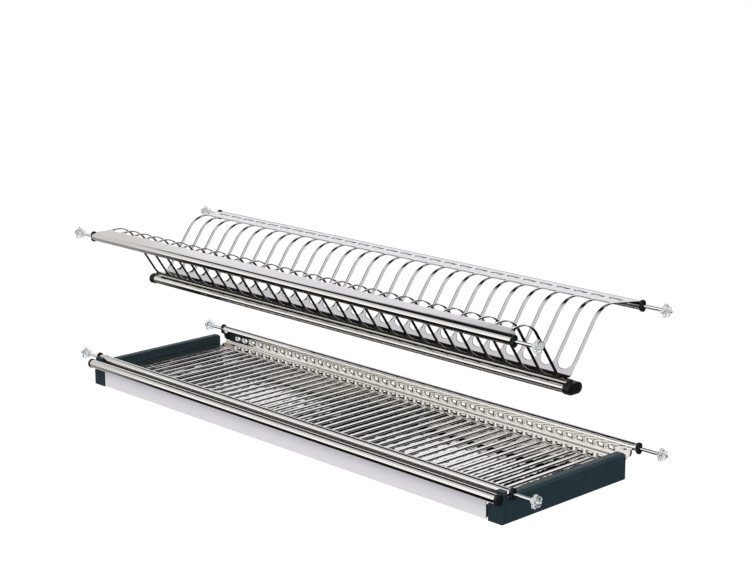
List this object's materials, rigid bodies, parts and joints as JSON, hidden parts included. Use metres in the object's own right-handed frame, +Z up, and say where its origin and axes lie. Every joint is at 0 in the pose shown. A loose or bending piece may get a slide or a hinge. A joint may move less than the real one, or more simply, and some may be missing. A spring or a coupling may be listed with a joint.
{
  "type": "two-tier dish drainer",
  "caption": "Cabinet dish rack: a slotted V-shaped plate comb above a slotted cup shelf with a slide-out drip tray, held by telescoping rods with lobed wall discs",
  "frame": {"origin": "middle of the whole rack's footprint, at the side pieces' underside", "axes": "+X to the right along the rails, +Y to the back, +Z up"},
  "size_m": [0.88, 0.2608, 0.2233],
  "materials": {
    "stainless": "mirror-polished stainless steel sheet",
    "chrome": "bright chromed rod",
    "black_plastic": "black moulded plastic",
    "slate_plastic": "dark slate-blue moulded plastic, satin",
    "clear_plastic": "clear glossy plastic"
  },
  "bodies": {
    "rack": {"plate_comb": "stainless", "base_rail": "stainless", "base_rail_cap_left": "black_plastic", "base_rail_cap_right": "black_plastic", "shelf_plate": "stainless", "side_piece_left": "slate_plastic", "side_piece_right": "slate_plastic", "upper_front_rail": "stainless", "upper_front_left_rail_cap": "black_plastic", "upper_front_right_rail_cap": "black_plastic", "upper_rear_rail": "stainless", "upper_rear_left_rail_cap": "black_plastic", "upper_rear_right_rail_cap": "black_plastic", "lower_front_rail": "stainless", "lower_front_left_rail_cap": "black_plastic", "lower_front_right_rail_cap": "black_plastic", "lower_rear_rail": "stainless", "lower_rear_left_rail_cap": "black_plastic", "lower_rear_right_rail_cap": "black_plastic"},
    "upper_front_left_support": {"upper_front_left_rod": "chrome", "upper_front_left_disc": "clear_plastic"},
    "upper_front_right_support": {"upper_front_right_rod": "chrome", "upper_front_right_disc": "clear_plastic"},
    "upper_rear_left_support": {"upper_rear_left_rod": "chrome", "upper_rear_left_disc": "clear_plastic"},
    "upper_rear_right_support": {"upper_rear_right_rod": "chrome", "upper_rear_right_disc": "clear_plastic"},
    "lower_front_left_support": {"lower_front_left_rod": "chrome", "lower_front_left_disc": "clear_plastic"},
    "lower_front_right_support": {"lower_front_right_rod": "chrome", "lower_front_right_disc": "clear_plastic"},
    "lower_rear_left_support": {"lower_rear_left_rod": "chrome", "lower_rear_left_disc": "clear_plastic"},
    "lower_rear_right_support": {"lower_rear_right_rod": "chrome", "lower_rear_right_disc": "clear_plastic"},
    "tray": {"drip_tray": "stainless", "tray_front": "stainless", "lip_cap_left": "black_plastic", "lip_cap_right": "black_plastic"}
  },
  "joints": [
    {"name": "upper_front_left_extension", "type": "slide", "parent": "rack", "child": "upper_front_left_support", "axis": [-1, 0, 0], "range_m": [-0.025, 0.015]},
    {"name": "upper_front_right_extension", "type": "slide", "parent": "rack", "child": "upper_front_right_support", "axis": [1, 0, 0], "range_m": [-0.025, 0.015]},
    {"name": "upper_rear_left_extension", "type": "slide", "parent": "rack", "child": "upper_rear_left_support", "axis": [-1, 0, 0], "range_m": [-0.025, 0.015]},
    {"name": "upper_rear_right_extension", "type": "slide", "parent": "rack", "child": "upper_rear_right_support", "axis": [1, 0, 0], "range_m": [-0.025, 0.015]},
    {"name": "lower_front_left_extension", "type": "slide", "parent": "rack", "child": "lower_front_left_support", "axis": [-1, 0, 0], "range_m": [-0.025, 0.015]},
    {"name": "lower_front_right_extension", "type": "slide", "parent": "rack", "child": "lower_front_right_support", "axis": [1, 0, 0], "range_m": [-0.025, 0.015]},
    {"name": "lower_rear_left_extension", "type": "slide", "parent": "rack", "child": "lower_rear_left_support", "axis": [-1, 0, 0], "range_m": [-0.025, 0.015]},
    {"name": "lower_rear_right_extension", "type": "slide", "parent": "rack", "child": "lower_rear_right_support", "axis": [1, 0, 0], "range_m": [-0.025, 0.015]},
    {"name": "tray_slide", "type": "slide", "parent": "rack", "child": "tray", "axis": [0, -1, 0], "range_m": [0, 0.2]}
  ]
}
